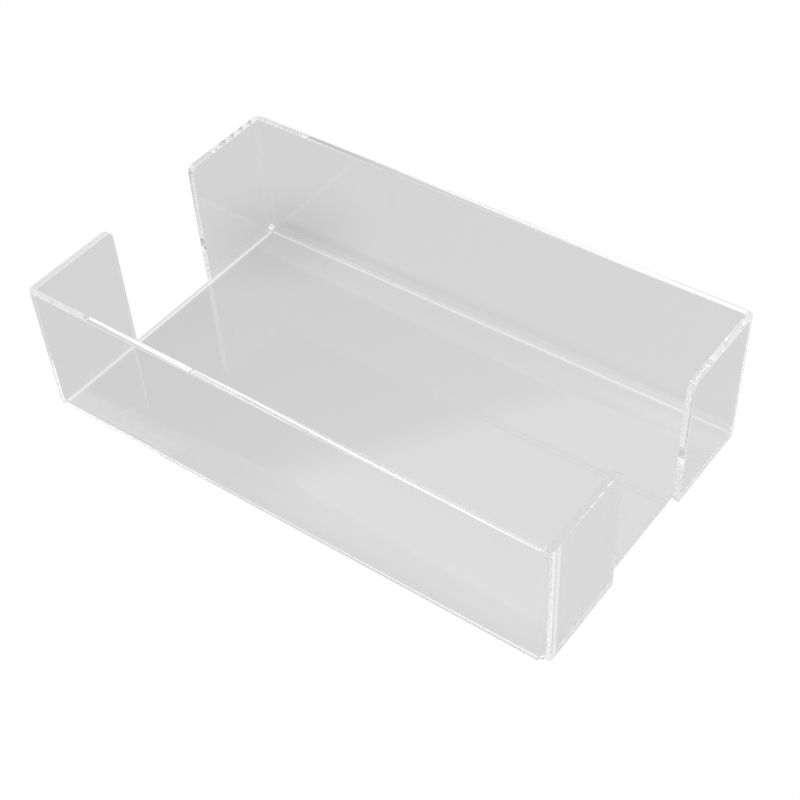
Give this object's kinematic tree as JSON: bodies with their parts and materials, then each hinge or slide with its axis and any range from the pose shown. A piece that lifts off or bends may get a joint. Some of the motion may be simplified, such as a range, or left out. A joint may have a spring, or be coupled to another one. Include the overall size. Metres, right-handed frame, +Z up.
{
  "type": "napkin holder",
  "caption": "Low clear acrylic tray that holds a stack of folded guest napkins, open at the top and in the middle of both ends so the stack can be gripped.",
  "frame": {"origin": "on the resting surface, under the middle of the tray", "axes": "+X along the length, +Y from the front wall to the rear wall, +Z up"},
  "size_m": [0.24, 0.141, 0.0615],
  "materials": {
    "clear_acrylic": "clear polished acrylic sheet with machined edges"
  },
  "bodies": {
    "root": {"base_panel": "clear_acrylic", "front_wall": "clear_acrylic", "rear_wall": "clear_acrylic"}
  },
  "joints": []
}
